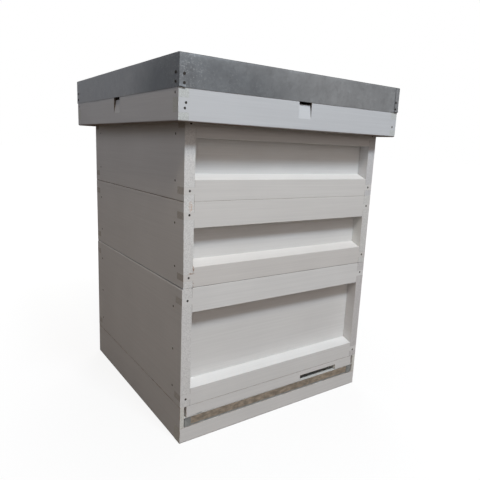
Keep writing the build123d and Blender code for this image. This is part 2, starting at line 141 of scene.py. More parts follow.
ARRIS = 0.7 * MM                    # rounding of the boards' edges
SEAM_ARRIS = 1.5 * MM               # the same on side boards where boxes meet, and under the floor
RIM_ARRIS = 0.35 * MM               # the same on the roof's rim
COUNTERSINK = 0.8 * MM              # the dent round a punched nail
SLIGHT_SHADE_AND_WEAR = 0.01                        # how much painted shade and wear a rounded edge gets; 1 is usual
FRONT_SEAM_SHADE_AND_WEAR = 0.6
SEAM_SHADE_AND_WEAR = 2.0
NAIL_SHADE_AND_WEAR = 3.0
LEAN = 2.2 * MM                     # the lower super's left side stands in this much at its foot
LEAN_FADE = 0.75                    # and by this part less at its back end
LEAN_FROM = -205 * MM               # nothing right of this leans
FROM_END = 60 * MM                  # joints lie nearer a board's end than this, saw cuts farther
LEDGE = "brood_box_side_left"       # its top edge shows below the leaning side, and gets little painted shade and wear
LEDGE_ARRIS = 2.4 * MM
OVERHANG = "lower_super_side_left"  # the leaning side: its bottom edge gets little painted shade and wear, and stays nearly sharp

ROOF_TURN = math.radians(0.6)       # the roof sits a touch askew
ROOF_HALF = 258 * MM                # middle of the roof to the outside of the cover's skirt
CORNER_TAB = 12 * MM                # the sheet folded round each corner on to front and back
FOLD = 1.2 * MM                     # rounding of the sheet's folds
FOLD_LINE = 1.2 * MM                # painted shade line down a tab's fold
SHEET = 0.8 * MM
SHEET_STEP = 17 * MM                # the cover is cut up this finely to be dented
TAB_STEP = 3 * MM                   # the same across a tab
HEIGHT_STEP = 5 * MM                # and in height
DENT = 0.4 * MM                     # depth of the cover's shallow dents
DENT_REACH = 34 * MM                # about how far one is from the next
SCUFF_AND_GLINT_REACH = 70 * MM                   # scuffs and painted glints thin out this far from a nailed corner
REFLECTION_SHADE_REACH = (330 * MM, 200 * MM, 90 * MM)  # the sheet's colour is darkened this near its front left corner: painted shade in its reflection
TAB_LIFT = 0.5 * MM                 # how far a tab's free edge stands off
TAB_RIPPLE = 7 * MM                 # length of the waves in that
TAB_BEND = 1.1 * MM                 # how far its lower end is bent out
TAB_END = 9 * MM                    # how high that end reaches
TAB_RAGGED = 0.9 * MM               # how far its lower edge wanders
TAB_RAG = 3 * MM                    # length of the waves in that

LIP_DEPTH = 1.7 * MM                # the tray's front, as deep as sheet and tab together
LIP_WAVE = 0.45 * MM                # how far its upper edge wanders
LIP_STEP = 6 * MM                   # the tray is cut up this finely across, to be bent
LIP_HEIGHT_STEP = 3 * MM            # and this finely in height
LIP_BOW = 31 * MM                   # length of its slow waves, in and out
LIP_RIPPLE = 11 * MM                # and of its quick ones, up and down
TRAY_TAB = 14 * MM                  # width of its corner tabs
TRAY_HEM = (4.0 * MM, 2.6 * MM)     # its lower edge turns grey between these heights

MESH_PITCH = 3.2 * MM               # floor mesh: from wire to wire
MESH_WIRE = (0.30 * MM, 0.16 * MM)  # half width and half thickness of a flattened wire
MESH_CROSSING = 0.9                 # crossing wires lie apart by this much of their thickness
MESH_BORDER = 8.5 * MM              # width of the plain strip round the mesh
BORDER_ARRIS = 0.15 * MM            # rounding of that strip's edges

PLY_THICK = 1.6 * MM                # one layer of the plywood
CELL_PITCH = 5.3 * MM               # worker bees' cells in the wax

# Some boards are tinted darker or bluer than the rest; on the right side boards the darker tint is
# painted shade, where the light falls off to the right
TINTS = {
    "rim": (0.80, 0.83, 0.875),
    "upper_super_side_right": (0.86, 0.86, 0.88),
    "lower_super_side_right": (0.93, 0.93, 0.92),
    "brood_box_side_right": (0.88, 0.865, 0.87),
    "upper_super_wall": (0.93, 0.93, 0.93),
    "lower_super_wall": (0.92, 0.92, 0.92),
    "brood_box_wall": (0.96, 0.96, 0.96),
    "upper_super_top_rail": (0.93, 0.93, 0.93),
    "lower_super_top_rail": (0.93, 0.92, 0.91),
    "upper_super_bottom_rail": (0.93, 0.92, 0.91),
    "lower_super_bottom_rail": (0.92, 0.90, 0.885),
}

# Stains and scuffs in the paint: centre, reach, colour, strength
STRIP_FRONT, SUPER_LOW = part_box(OVERHANG)[0].yz
STRIP_IN, SUPER_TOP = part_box(OVERHANG)[1].xz
BLOCK_LEFT, BLOCK_FRONT, BLOCK_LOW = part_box("entrance_block")[0]
STAINS = (
    ((STRIP_IN - 7 * MM, STRIP_FRONT, SUPER_TOP - 9 * MM), (5 * MM, 3 * MM, 11 * MM), PEACH_STAIN, 0.8),
    ((STRIP_IN - 5 * MM, STRIP_FRONT, SUPER_LOW + 25 * MM), (10 * MM, 3 * MM, 2.2 * MM), RUST_STAIN, 0.7),
    ((STRIP_IN + 1 * MM, STRIP_FRONT, SUPER_LOW + 36 * MM), (2 * MM, 6 * MM, 12 * MM), RUST_STAIN, 0.9),
    ((STRIP_IN + 1 * MM, STRIP_FRONT, SUPER_LOW + 6 * MM), (2 * MM, 6 * MM, 7 * MM), RUST_STAIN, 0.9),
    ((BLOCK_LEFT + 36 * MM, BLOCK_FRONT, BLOCK_LOW), (30 * MM, 3 * MM, 3.6 * MM), GREY_SCUFF, 0.9),
)


# ---------------------------------------------------------------- material recipes

def add_node(tree, kind, inputs, out=0, **settings):
    """Adds a node and returns one output. Each input gets a value or another node's output."""
    node = tree.nodes.new("ShaderNode" + kind)
    for key, value in settings.items():
        setattr(node, key, value)
    for socket, value in inputs.items():
        target = node.inputs[socket]
        if isinstance(value, bpy.types.NodeSocket):
            tree.links.new(value, target)
        else:
            target.default_value = (*value, 1) if target.type == "RGBA" else value
    return node.outputs[out]


class Recipe:
    """A material being built: each call adds a node and returns the output asked for."""

    def __init__(self, name):
        self.material = bpy.data.materials.new(name)
        self.material.use_nodes = True
        self.tree = self.material.node_tree
        self.tree.nodes.clear()
        self.place = self.add("TexCoord", out="Object")
        self.normal = self.add("NewGeometry", out="Normal")

    def add(self, kind, inputs=None, out=0, **settings):
        return add_node(self.tree, kind, inputs or {}, out, **settings)

    def math(self, operation, a, b=0.0):
        return self.add("Math", {0: a, 1: b}, operation=operation)

    def scaled(self, scale):
        return self.add("VectorMath", {0: self.place, 1: scale}, operation="MULTIPLY")

    def noise(self, scale, detail=3.0, roughness=0.5, distortion=0.0):
        vector = self.scaled(scale) if isinstance(scale, tuple) else self.place
        size = 1.0 if isinstance(scale, tuple) else scale
        return self.add("TexNoise", {"Vector": vector, "Scale": size, "Detail": detail,
                                     "Roughness": roughness, "Distortion": distortion}, out="Fac")

    def cells(self, scale):
        return self.add("TexVoronoi", {"Vector": self.place, "Scale": scale}, out="Color")

    def remap(self, value, low, high, to_low=0.0, to_high=1.0):
        return self.add("MapRange", {"Value": value, "From Min": low, "From Max": high,
                                     "To Min": to_low, "To Max": to_high})

    def mix(self, factor, a, b, blend="MIX"):
        return self.add("Mix", {0: factor, 6: a, 7: b}, out=2, data_type="RGBA", blend_type=blend)

    def along(self, vector, axis):
        return self.add("VectorMath", {0: vector, 1: axis}, out="Value", operation="DOT_PRODUCT")

    def bump(self, height, distance, strength=1.0, normal=None):
        inputs = {"Height": height, "Distance": distance, "Strength": strength}
        if normal is not None:
            inputs["Normal"] = normal
        return self.add("Bump", inputs)

    def attribute(self, name):
        return self.add("Attribute", out="Fac", attribute_name=name)

    def crevices(self, reach):
        """Ambient occlusion, the mask for painted shade: 1 in the narrow gaps between pieces, 0 on open
        faces.
        """
        openness = self.add("AmbientOcclusion", {"Distance": reach}, out="AO", samples=6)
        return self.remap(openness, 0.80, 0.40)

    def patch(self, centre, size):
        """1 at centre, fading to 0 at the given distances along x, y and z."""
        away = self.add("VectorMath", {0: self.place, 1: centre}, operation="SUBTRACT")
        away = self.add("VectorMath", {0: away, 1: tuple(1 / s for s in size)}, operation="MULTIPLY")
        away = self.add("VectorMath", {0: away}, out="Value", operation="LENGTH")
        return self.remap(away, 1.0, 0.45)

    def surface(self, colour, roughness, metallic=0.0, normal=None, **extra):
        inputs = {"Base Color": colour, "Roughness": roughness, "Metallic": metallic}
        inputs.update(extra)
        if normal is not None:
            inputs["Normal"] = normal
        shader = self.add("BsdfPrincipled", inputs)
        output = self.tree.nodes.new("ShaderNodeOutputMaterial")
        self.tree.links.new(shader, output.inputs["Surface"])
        return self.material


def stretched(grain, fine, long):
    """Noise scale with short features across the grain and long ones along it."""
    return tuple(long if axis else fine for axis in grain)


def painted_wood(name, grain, end_cast=None, shaded_below=False):
    """White paint brushed on softwood: faint grain, rougher end grain, dark joints and worn arrises, with
    painted shade in narrow gaps and, when asked, on faces turned down.
    """
    r = Recipe(name)
    streaks = r.noise(stretched(grain, 420.0, 6.0), 4.0)
    brushed = r.noise(stretched(grain, 1300.0, 14.0), 2.0)
    cloud = r.noise(9.0, 2.0)
    pores = r.noise(520.0, 3.0, roughness=0.7)
    end_grain = r.remap(r.math("ABSOLUTE", r.along(r.normal, grain)), 0.80, 0.95)
    tone = r.math("ADD", r.remap(streaks, 0.3, 0.7, 0.965, 1.02), r.remap(cloud, 0.3, 0.7, -0.02, 0.02))
    speckle = r.math("MULTIPLY", end_grain, r.remap(pores, 0.35, 0.65, -0.08, 0.17))
    tone = r.math("SUBTRACT", tone, speckle)
    paint = r.mix(1.0, PAINT, r.add("ObjectInfo", out="Color"), "MULTIPLY")
    paint = r.mix(1.0, paint, r.add("CombineColor", {0: tone, 1: tone, 2: tone}), "MULTIPLY")
    paint = stained(r, paint, grain)
    if end_cast:
        paint = r.mix(end_grain, paint, r.mix(1.0, paint, end_cast, "MULTIPLY"))
    eased = r.attribute("eased")
    paint = worn(r, paint, eased)
    # faces turned down are painted brown: bare wood there, darkened as painted shade
    if shaded_below:
        below = r.remap(r.along(r.normal, (0, 0, -1)), 0.25, 0.75)
        paint = r.mix(r.math("MULTIPLY", below, r.remap(cloud, 0.3, 0.6, 0.7, 1.0)), paint, UNDERSIDE_BROWN_SHADE)
    paint = darkened(r, paint, eased)
    shine = r.math("ADD", r.remap(brushed, 0.3, 0.7, 0.42, 0.54), r.math("MULTIPLY", end_grain, 0.15))
    relief = r.math("ADD", streaks, r.math("MULTIPLY", brushed, 0.4))
    relief = r.math("ADD", relief, r.math("MULTIPLY", end_grain, pores))
    return r.surface(paint, shine, normal=r.bump(relief, 0.12 * MM, 0.6),
                     **{"Specular IOR Level": 0.4})


def stained(r, paint, grain):
    """The paint with its ragged stains."""
    for centre, size, colour, strength in STAINS:
        ragged = r.remap(r.noise(stretched(grain, 380.0, 150.0), 3.0), 0.42, 0.60)
        stain = r.math("MULTIPLY", r.patch(centre, size), ragged)
        paint = r.mix(r.math("MULTIPLY", stain, strength), paint, colour)
    return paint


def worn(r, paint, eased):
    """Bare wood in patches along the eased edges; the object's alpha says how much."""
    wear = r.math("MULTIPLY", eased, r.add("ObjectInfo", out="Alpha"))
    patches = r.math("MULTIPLY", wear, r.remap(r.noise(85.0, 4.0), 0.36, 0.58))
    return r.mix(patches, paint, BARE_WOOD)


def darkened(r, paint, eased):
    """Saw cuts painted dark: raw wood with painted shade. Painted shade, with some grime, in the joints
    and narrow gaps.
    """
    # the cheeks of vents and slots: raw wood, with painted shade
    sawn_in_shade = r.math("MULTIPLY", r.attribute("cut"), r.remap(r.noise(160.0, 3.0), 0.3, 0.55, 0.7, 1.0))
    paint = r.mix(sawn_in_shade, paint, SAW_CUT_IN_SHADE)
    # painted shade in narrow gaps, found by ambient occlusion; stronger on the rounded edges marked for
    # it
    joints = r.math("MAXIMUM", eased, 0.2)
    gap = r.math("MULTIPLY", r.crevices(4 * MM), r.remap(r.noise(45.0, 3.0), 0.34, 0.60, 0.35, 1.0))
    return r.mix(r.math("MULTIPLY", gap, joints), paint, CREVICE_SHADE_AND_GRIME)


def bare_pine(name, grain):
    r = Recipe(name)
    warp = r.noise(stretched(grain, 14.0, 2.0), 2.0)
    lines = r.add("TexWave", {"Vector": r.scaled(stretched(grain, 60.0, 3.0)), "Scale": 1.0,
                              "Distortion": 5.0, "Detail": 2.0, "Detail Scale": 1.2}, out="Fac")
    fibres = r.noise(stretched(grain, 1500.0, 25.0), 3.0)
    figure = r.math("ADD", r.math("MULTIPLY", lines, 0.6), r.math("MULTIPLY", warp, 0.4))
    colour = r.mix(r.remap(figure, 0.25, 0.85), PINE_LIGHT, PINE_DARK)
    colour = r.mix(r.remap(fibres, 0.35, 0.7, 0.0, 0.35), colour, PINE_DARK)
    # painted shade in narrow gaps
    gap = r.crevices(3 * MM)
    colour = r.mix(r.math("MULTIPLY", gap, 0.6), colour, CREVICE_SHADE_AND_GRIME)
    return r.surface(colour, r.remap(fibres, 0.3, 0.7, 0.55, 0.72),
                     normal=r.bump(fibres, 0.15 * MM, 0.7))


def plywood(name):
    r = Recipe(name)
    figure = r.noise(stretched(GRAIN_X, 90.0, 5.0), 5.0, distortion=0.8)
    fibres = r.noise(stretched(GRAIN_X, 1400.0, 30.0), 3.0)
    face = r.mix(r.remap(figure, 0.32, 0.70), PLY_LIGHT, PLY_DARK)
    height = r.along(r.place, (0, 0, 1))
    ply = r.math("PINGPONG", height, PLY_THICK)
    layered = r.mix(r.remap(ply, 0.6 * MM, 1.0 * MM), LAYER_LIGHT, LAYER_DARK)
    on_edge = r.remap(r.math("ABSOLUTE", r.along(r.normal, (0, 0, 1))), 0.6, 0.4)
    colour = r.mix(on_edge, face, layered)
    return r.surface(colour, r.remap(fibres, 0.3, 0.7, 0.55, 0.7),
                     normal=r.bump(fibres, 0.12 * MM, 0.6))


def galvanised(name, dark, light, spangle=70.0, metallic=0.75, reflection_shade_corner=None):
    """Zinc-coated sheet: spangle and soft mottling; scuffs, lightened as painted glints, where it was
    folded and nailed; painted shade along its folds; and, when asked, painted shade in its reflection
    near one corner.
    """
    r = Recipe(name)
    flake = r.along(r.cells(spangle), (0.5, 0.3, 0.2))
    small_flake = r.along(r.cells(spangle * 2.7), (0.2, 0.5, 0.3))
    mottle = r.noise(28.0, 5.0, roughness=0.65)
    fine = r.noise(420.0, 3.0, roughness=0.7)
    crystals = r.math("ADD", r.math("MULTIPLY", flake, 0.26), r.math("MULTIPLY", small_flake, 0.25))
    mix = r.math("ADD", crystals, r.math("MULTIPLY", r.remap(mottle, 0.3, 0.7), 0.34))
    mix = r.math("ADD", mix, r.math("MULTIPLY", fine, 0.26))
    colour = r.mix(r.remap(mix, 0.2, 0.95), dark, light)
    worked = r.math("MAXIMUM", r.attribute("worked"), r.remap(r.noise(16.0, 2.0), 0.50, 0.68, 0.0, 0.45))
    scuff_and_glint = r.math("MULTIPLY", r.remap(r.noise(340.0, 4.0, roughness=0.75), 0.54, 0.66), worked)
    # painted shade: the reflection near the front left corner is darkened in the colour
    if reflection_shade_corner:
        dull = r.patch(reflection_shade_corner, REFLECTION_SHADE_REACH)
        colour = r.mix(dull, colour, r.mix(1.0, colour, ZINC_REFLECTION_SHADE, "MULTIPLY"))
    # scuffs, lightened into painted glints on the zinc
    colour = r.mix(r.math("MULTIPLY", scuff_and_glint, 0.5), colour, ZINC_SCUFF_AND_GLINT)
    # painted shade along the folds and the edges of the tabs
    colour = r.mix(r.math("MULTIPLY", r.attribute("eased"), 0.9), colour, ZINC_FOLD_SHADE)
    shining = r.remap(scuff_and_glint, 0.0, 1.0, metallic, 0.35 * metallic)
    rough = r.math("ADD", r.remap(mix, 0.2, 0.8, 0.36, 0.48), r.math("MULTIPLY", scuff_and_glint, 0.12))
    relief = r.bump(mottle, 0.5 * MM, 0.35)
    relief = r.bump(r.math("ADD", mix, scuff_and_glint), 0.08 * MM, 0.6, relief)
    return r.surface(colour, rough, shining, relief)


def tray_sheet(name, low, high):
    """Galvanised tray: brown across its front, a painted reflection of a brown floor, mottled with
    scuffs; clean grey where the corner tabs fold over; painted shade in narrow gaps.
    """
    r = Recipe(name)
    blend = 0.5 * MM
    across = r.along(r.place, (1, 0, 0))
    left_tab = r.remap(across, low.x + TRAY_TAB, low.x + TRAY_TAB - blend)
    right_tab = r.remap(across, high.x - TRAY_TAB, high.x - TRAY_TAB + blend)
    tabs = r.math("MAXIMUM", left_tab, right_tab)
    height = r.along(r.place, (0, 0, 1))
    bottom = r.remap(height, low.z + TRAY_HEM[0], low.z + TRAY_HEM[1])
    scuffs = r.noise((75.0, 75.0, 160.0), 6.0, roughness=0.72)
    specks = r.noise(520.0, 3.0, roughness=0.7)
    flake = r.along(r.cells(110.0), (0.5, 0.3, 0.2))
    # painted reflection of a brown floor across the front
    brown = r.mix(r.remap(scuffs, 0.38, 0.62), TRAY_REFLECTED_BROWN, TRAY_REFLECTED_LIGHT)
    brown = r.mix(r.remap(specks, 0.52, 0.68, 0.0, 0.7), brown, TRAY_GREY)
    grey = r.mix(r.remap(flake, 0.2, 0.8), TRAY_GREY, TRAY_PALE)
    colour = r.mix(r.math("MAXIMUM", tabs, bottom), brown, grey)
    # painted shade in narrow gaps
    gap = r.crevices(2.5 * MM)
    colour = r.mix(r.math("MULTIPLY", gap, 0.8), colour, TRAY_CREVICE_SHADE)
    rough = r.remap(scuffs, 0.3, 0.7, 0.42, 0.6)
    return r.surface(colour, rough, 0.55, r.bump(scuffs, 0.2 * MM, 0.5))


def nail_steel(name):
    r = Recipe(name)
    grime = r.noise(700.0, 3.0)
    # near-black steel: the shade round the nail heads is painted in
    colour = r.mix(r.remap(grime, 0.4, 0.75), NAIL_STEEL_IN_SHADE, NAIL_GRIME)
    return r.surface(colour, r.remap(grime, 0.3, 0.7, 0.4, 0.65), 0.25, r.bump(grime, 0.15 * MM))


def beeswax(name):
    """Foundation wax: pressed with hexagonal cell bases on both faces."""
    r = Recipe(name)
    waves = None
    for turn in (0, 60, 120):
        angle = math.radians(turn)
        k = 4 * math.pi / (math.sqrt(3) * CELL_PITCH)
        axis = (0, k * math.cos(angle), k * math.sin(angle))
        wave = r.math("COSINE", r.along(r.place, axis))
        waves = wave if waves is None else r.math("ADD", waves, wave)
    walls = r.remap(waves, 0.2, -1.3)
    cloud = r.noise(22.0, 3.0)
    colour = r.mix(r.remap(cloud, 0.3, 0.7), WAX_LIGHT, WAX_DARK)
    colour = r.mix(r.math("MULTIPLY", walls, 0.45), colour, WAX_CELL_WALL)
    return r.surface(colour, r.remap(cloud, 0.3, 0.7, 0.35, 0.5), normal=r.bump(walls, 0.5 * MM),
                     **{"Subsurface Weight": 0.15, "Subsurface Scale": 1.5 * MM})


# ---------------------------------------------------------------- pieces

def welded(node):
    """The CAD node's mesh as a bmesh with its split corners joined and flat faces whole."""
    bm = bmesh.new()
    bm.from_mesh(frame["nodes"][node].data)
    bmesh.ops.remove_doubles(bm, verts=bm.verts, dist=SAME_CORNER)
    bmesh.ops.dissolve_limit(bm, angle_limit=FLAT, verts=bm.verts, edges=bm.edges)
    for face in bm.faces:
        face.smooth = False
    return bm


def stand_in(node, bm, material, suffix, tint=(1, 1, 1), wear=0.0):
    """Puts bm in the scene in the place of a CAD node. Painted wood reads its tint and its wear."""
    mesh = bpy.data.meshes.new(f"{node}_{suffix}")
    bm.to_mesh(mesh)
    bm.free()
    piece = bpy.data.objects.new(mesh.name, mesh)
    bpy.context.scene.collection.objects.link(piece)
    mesh.materials.append(material)
    piece.color = (*tint, wear)
    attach(piece, frame["nodes"][node]["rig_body"])
    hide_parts(node)


def mark_layer(bm, name):
    return bm.faces.layers.float.get(name) or bm.faces.layers.float.new(name)


def ease(bm, edges, width, segments=2, shade_and_wear=1.0):
    """Rounds these edges and marks the new faces, where paint wears through first and where painted shade
    is deeper in narrow gaps.
    """
    eased = mark_layer(bm, "eased")
    made = bmesh.ops.bevel(bm, geom=edges, offset=width, segments=segments, profile=0.5,
                           affect="EDGES", clamp_overlap=True)
    for face in made["faces"]:
        face[eased] = shade_and_wear


def outer_edges(bm, shortest):
    return [edge for edge in bm.edges
            if len(edge.link_faces) == 2 and edge.calc_length() > shortest
            and edge.calc_face_angle_signed() > OUTER_EDGE]


def pull_in(bm, box_low, box_high):
    """Leans the left side in towards its foot, and everything that passes through it."""
    for vertex in bm.verts:
        reach = min(1.0, max(0.0, (LEAN_FROM - vertex.co.x) / (LEAN_FROM - box_low.x)))
        drop = (box_high.z - vertex.co.z) / (box_high.z - box_low.z)
        back = (vertex.co.y - box_low.y) / (box_high.y - box_low.y)
        vertex.co.x += LEAN * reach * drop * (1 - LEAN_FADE * back)


def eased_board(node, material, tint=(1, 1, 1), wear=0.12):
    """The board with its outer edges eased, wider where one box stands on the next."""
    bm = welded(node)
    box = next((b for b in BOXES if node.startswith(b)), None)
    ease(bm, nail_rims(bm, *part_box(node)), COUNTERSINK, shade_and_wear=NAIL_SHADE_AND_WEAR)
    if box:
        ease_seams(bm, node, *box_span(box))
    if node.startswith("floor"):
        ease(bm, level_edges(bm, CAD_BOX[0].z, node), SEAM_ARRIS)
    rest = [edge for edge in outer_edges(bm, SHORTEST_ARRIS) if not is_eased(bm, edge)]
    ease(bm, rest, RIM_ARRIS if node.startswith("roof") else ARRIS)
    mark_saw_cuts(bm, *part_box(node))
    if box == "lower_super":
        pull_in(bm, *side_box(box))
    stand_in(node, bm, material, "painted", tint, wear)


def ease_seams(bm, node, floor_of_box, top_of_box):
    """Rounds a board's edges where one box stands on the next; wider, with more painted shade and wear,
    on side boards.
    """
    width, shade_and_wear = (SEAM_ARRIS, SEAM_SHADE_AND_WEAR) if "_side_" in node else (ARRIS, FRONT_SEAM_SHADE_AND_WEAR)
    if node == OVERHANG:
        ease(bm, level_edges(bm, floor_of_box, node), RIM_ARRIS, shade_and_wear=SLIGHT_SHADE_AND_WEAR)
    else:
        ease(bm, level_edges(bm, floor_of_box, node), width, shade_and_wear=shade_and_wear)
    if node == LEDGE:
        ease(bm, level_edges(bm, top_of_box, node), LEDGE_ARRIS, segments=1, shade_and_wear=SLIGHT_SHADE_AND_WEAR)
    else:
        ease(bm, level_edges(bm, top_of_box, node), width, shade_and_wear=shade_and_wear)


def level_edges(bm, height, node):
    """The board's long outer edges at this height: for a side board, only those of its two faces."""
    along = 1 if "_side_" in node else 0
    return [edge for edge in outer_edges(bm, SHORTEST_ARRIS)
            if all(abs(v.co.z - height) < SAME_PLACE for v in edge.verts)
            and abs(edge.verts[0].co[along] - edge.verts[1].co[along]) > SHORTEST_ARRIS]


def mark_saw_cuts(bm, low, high):
    """Marks the cheeks of a vent or slot: small faces across the board's length, away from its ends, to
    be painted dark as raw wood in painted shade.
    """
    cut = mark_layer(bm, "cut")
    length = 0 if high.x - low.x > high.y - low.y else 1
    bm.normal_update()
    for face in bm.faces:
        spot = face.calc_center_median()[length]
        inside = low[length] + FROM_END < spot < high[length] - FROM_END
        face[cut] = float(inside and abs(face.normal[length]) > 0.9)


def nail_rims(bm, low, high):
    """Short edges on the board's upright outer faces: the round rims of its nail holes."""
    faces = ((0, low.x), (0, high.x), (1, low.y), (1, high.y))
    return [edge for edge in bm.edges if edge.calc_length() < SHORTEST_ARRIS
            and len(edge.link_faces) == 2 and edge.calc_face_angle() > HOLE_RIM
            and any(all(abs(v.co[i] - at) < SAME_PLACE for v in edge.verts) for i, at in faces)]


def is_eased(bm, edge):
    eased = mark_layer(bm, "eased")
    return any(face[eased] > 0 for face in edge.link_faces)


def side_box(box):
    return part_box(f"{box}_side_left")


def box_span(box):
    low, high = side_box(box)
    return low.z, high.z


def paint_boards():
    along_x = painted_wood("white_painted_wood_grain_x", GRAIN_X, TENON_CAST)
    along_y = painted_wood("white_painted_wood_grain_y", GRAIN_Y)
    rim_along_x = painted_wood("rim_painted_wood_grain_x", GRAIN_X, OLIVE_CAST, shaded_below=True)
    rim_along_y = painted_wood("rim_painted_wood_grain_y", GRAIN_Y, OLIVE_CAST, shaded_below=True)
    for box in BOXES:
        eased_board(f"{box}_side_left", along_y)
        # the right side boards' tint is painted shade
        eased_board(f"{box}_side_right", along_y, TINTS[f"{box}_side_right"], wear=0.6)
        for end in ("front", "back"):
            for part in ("wall", "top_rail", "bottom_rail"):
                eased_board(f"{box}_{end}_{part}", along_x, TINTS.get(f"{box}_{part}", (1, 1, 1)))
    for side in ("left", "right"):
        eased_board(f"floor_side_{side}", rim_along_y, wear=0.8)
        eased_board(f"roof_{side}_board", rim_along_y, TINTS["rim"], wear=0.5)
    for end in ("front", "back"):
        eased_board(f"floor_{end}_rail", rim_along_x, wear=0.8)
        eased_board(f"roof_{end}_board", rim_along_x, TINTS["rim"], wear=0.5)
    eased_board("entrance_block", along_x, wear=0.3)


def cut_up(bm, axis, places):
    """Cuts the mesh square to axis at these places, so that it can bend there."""
    for place in places:
        everything = bm.verts[:] + bm.edges[:] + bm.faces[:]
        bmesh.ops.bisect_plane(bm, geom=everything, plane_co=axis * place, plane_no=axis)


def spread(low, high, step):
    """Places between low and high, about step apart, without the two ends."""
    count = max(1, round((high - low) / step))
    return [low + (high - low) * i / count for i in range(1, count)]


def smooth(bm):
    """Shades gentle bends smoothly and keeps folds sharp."""
    for face in bm.faces:
        face.smooth = True
    for edge in bm.edges:
        edge.smooth = edge.calc_face_angle(0) < SHARP_FOLD


def roof_cover(material):
    """The folded sheet: shallow dents, a skirt that isn't quite straight, tabs bent where nailed."""
    bm = welded("roof_cover")
    low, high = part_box("roof_cover")
    middle = (low + high) / 2
    place = Matrix.Translation((middle.x, middle.y, low.z)) @ Matrix.Rotation(ROOF_TURN, 4, "Z")
    bm.transform(place.inverted())
    height = high.z - low.z
    top = [edge for edge in outer_edges(bm, LONG_EDGE)
           if all(v.co.z > height - FOLD / 2 for v in edge.verts)]
    ease(bm, top, FOLD, 3)
    cut_up_cover(bm, height)
    mark_cover(bm)
    for vertex in bm.verts:
        vertex.co += dented(vertex.co, height)
        vertex.co += bent_tab(vertex.co)
    smooth(bm)
    bm.transform(place)
    stand_in("roof_cover", bm, material, "folded")


def cut_up_cover(bm, height):
    """Cuts the cover up finely enough to dent it, and more finely across its corner tabs."""
    tab_end = ROOF_HALF - CORNER_TAB
    across_sheet = spread(-tab_end, tab_end, SHEET_STEP)
    across_tabs = spread(tab_end, ROOF_HALF, TAB_STEP) + [ROOF_HALF - FOLD_LINE]
    for axis in (Vector((1, 0, 0)), Vector((0, 1, 0))):
        cut_up(bm, axis, across_sheet + across_tabs + [-x for x in across_tabs])
    cut_up(bm, Vector((0, 0, 1)), spread(0, height, HEIGHT_STEP))


def mark_cover(bm):
    """Marks where the sheet is scuffed and painted with glints, and the painted shade lines along the
    folds and edges of its tabs.
    """
    worked = mark_layer(bm, "worked")
    eased = mark_layer(bm, "eased")
    bm.normal_update()
    for face in bm.faces:
        spot = face.calc_center_median()
        from_corner = ROOF_HALF - min(abs(spot.x), abs(spot.y))
        face[worked] = max(0.0, 1 - from_corner / SCUFF_AND_GLINT_REACH)
        on_tab = abs(spot.y) > ROOF_HALF + SHEET / 4
        in_fold = abs(face.normal.y) < 0.5 or abs(spot.x) > ROOF_HALF - FOLD_LINE
        face[eased] = max(face[eased], float(on_tab and in_fold))


def near_face(distance, face):
    """1 on the face, 0 where the fold begins."""
    return min(1.0, max(0.0, (distance - face + FOLD) / FOLD))


def dented(spot, height):
    """The cover's outer skin pressed in a little, here more and there less; its inner skin stays."""
    sideways = max(abs(spot.x), abs(spot.y))
    if sideways < ROOF_HALF - SHEET / 2 and spot.z < height - SHEET / 2:
        return Vector()
    press = DENT * (0.5 + 0.5 * noise.noise(spot / DENT_REACH))
    return Vector((-math.copysign(near_face(abs(spot.x), ROOF_HALF), spot.x),
                   -math.copysign(near_face(abs(spot.y), ROOF_HALF), spot.y),
                   -near_face(spot.z, height))) * press


def bent_tab(spot):
    """A corner tab's free edge stands off a little, and its lower end is bent out."""
    if abs(spot.y) < ROOF_HALF + SHEET / 4:
        return Vector()
    free = (ROOF_HALF - abs(spot.x)) / CORNER_TAB
    lift = TAB_LIFT * free * (0.6 + 0.8 * noise.noise(spot / TAB_RIPPLE))
    low_end = max(0.0, 1 - spot.z / TAB_END)
    lift += TAB_BEND * low_end ** 2
    ragged = TAB_RAGGED * low_end * noise.noise(spot / TAB_RAG)
    return Vector((0, math.copysign(lift, spot.y), ragged))


def rod(bm, start, end, side, up):
    """A straight six-sided wire; side and up are its half width and half thickness as vectors."""
    rings = []
    for centre in (start, end):
        turns = [math.radians(60 * i) for i in range(6)]
        rings.append([bm.verts.new(centre + side * math.cos(t) + up * math.sin(t)) for t in turns])
    for i in range(6):
        j = (i + 1) % 6
        bm.faces.new((rings[0][i], rings[0][j], rings[1][j], rings[1][i]))
    bm.faces.new(rings[0][::-1])
    bm.faces.new(rings[1])


def floor_mesh(material):
    """Welded wire mesh, held in a plain strip of sheet metal all round."""
    low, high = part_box("floor_mesh")
    bm = bmesh.new()
    inner_low = low + Vector((MESH_BORDER, MESH_BORDER, 0))
    inner_high = high - Vector((MESH_BORDER, MESH_BORDER, 0))
    middle = (low.z + high.z) / 2
    width, thick = MESH_WIRE
    tuck = MESH_BORDER / 3
    for x in spread(inner_low.x, inner_high.x, MESH_PITCH):
        start = Vector((x, inner_low.y - tuck, middle + thick * MESH_CROSSING))
        end = Vector((x, inner_high.y + tuck, start.z))
        rod(bm, start, end, Vector((width, 0, 0)), Vector((0, 0, thick)))
    for y in spread(inner_low.y, inner_high.y, MESH_PITCH):
        start = Vector((inner_low.x - tuck, y, middle - thick * MESH_CROSSING))
        end = Vector((inner_high.x + tuck, y, start.z))
        rod(bm, start, end, Vector((0, width, 0)), Vector((0, 0, thick)))
    border(bm, (low, high), (inner_low, inner_high))
    bmesh.ops.recalc_face_normals(bm, faces=bm.faces)
    stand_in("floor_mesh", bm, material, "wires")


